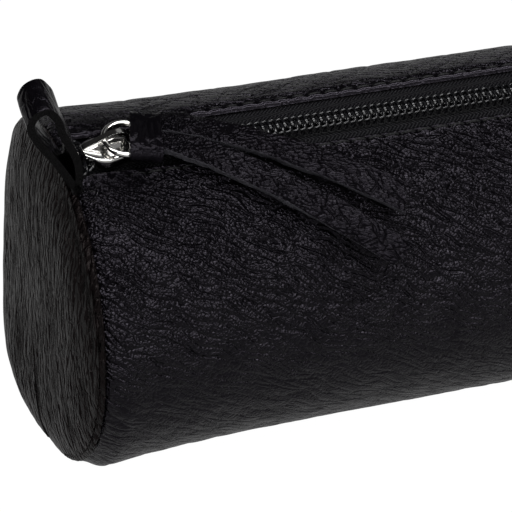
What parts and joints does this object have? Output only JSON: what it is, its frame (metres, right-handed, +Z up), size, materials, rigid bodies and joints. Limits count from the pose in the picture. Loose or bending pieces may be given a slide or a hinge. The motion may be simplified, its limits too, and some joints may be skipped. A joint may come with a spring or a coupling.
{
  "type": "pen case",
  "caption": "Round soft leather pen case that lies on its side, with round leather ends, a coil zip along the top, a leather strap on the slider and a folded tab at one end.",
  "frame": {"origin": "middle of the flat that the case rests on, halfway between the end seams", "axes": "+X along the case, away from the tab; +Z up; -Y is the front, towards which the zip leans"},
  "size_m": [0.2219, 0.0605, 0.0732],
  "materials": {
    "leather_black": "grained, satin",
    "leather_smooth": "smooth, satin",
    "lining_cloth": "plain weave",
    "board": "pressed fibre board",
    "thread": "twisted polyester",
    "zip_tape": "woven tape",
    "coil_nylon": "gloss",
    "nickel": "polished nickel plate"
  },
  "bodies": {
    "case": {"bottom_panel": "leather_black", "bottom_lining": "lining_cloth", "left_end_disc": "leather_black", "right_end_disc": "leather_black", "left_end_board": "board", "right_end_board": "board", "left_end_lining": "lining_cloth", "right_end_lining": "lining_cloth", "left_seam_thread": "thread", "right_seam_thread": "thread", "end_tab": "leather_black"},
    "front_side": {"front_panel": "leather_black", "front_lining": "lining_cloth", "front_tape": "zip_tape", "front_coil": "coil_nylon", "front_coil_thread": "thread", "front_stitches": "thread"},
    "back_side": {"back_panel": "leather_black", "back_lining": "lining_cloth", "back_tape": "zip_tape", "back_coil": "coil_nylon", "back_coil_thread": "thread", "back_stitches": "thread"},
    "slider": {"slider_body": "nickel"},
    "ring": {"pull_ring": "nickel"},
    "strap": {"pull_strap": "leather_smooth"}
  },
  "joints": [
    {"name": "slider_travel", "type": "slide", "parent": "case", "child": "slider", "axis": [1, 0, 0], "range_m": [0, 0.19], "deforming": ["pull_strap"]},
    {"name": "front_opening", "type": "hinge", "parent": "case", "child": "front_side", "pos_m": [0, -0.0075, 0.0006], "axis": [1, 0, 0], "range_deg": [0, 13], "deforming": ["front_tape", "front_coil", "front_coil_thread"]},
    {"name": "back_opening", "type": "hinge", "parent": "case", "child": "back_side", "pos_m": [0, 0.0075, 0.0006], "axis": [-1, 0, 0], "range_deg": [0, 13], "deforming": ["back_tape", "back_coil", "back_coil_thread"]},
    {"name": "ring_swing", "type": "hinge", "parent": "slider", "child": "ring", "pos_m": [-0.09685, -0.0093, 0.05916], "axis": [-0.309, -0.9035, -0.297], "range_deg": [0, 80]},
    {"name": "strap_swing", "type": "hinge", "parent": "ring", "child": "strap", "pos_m": [-0.09134, -0.01101, 0.0586], "axis": [-0.309, -0.9035, -0.297], "range_deg": [0, 40]}
  ],
  "couplings": [
    {"joint": "front_opening", "follows": "slider_travel", "rad_per_m": 1.19},
    {"joint": "back_opening", "follows": "slider_travel", "rad_per_m": 1.19}
  ]
}
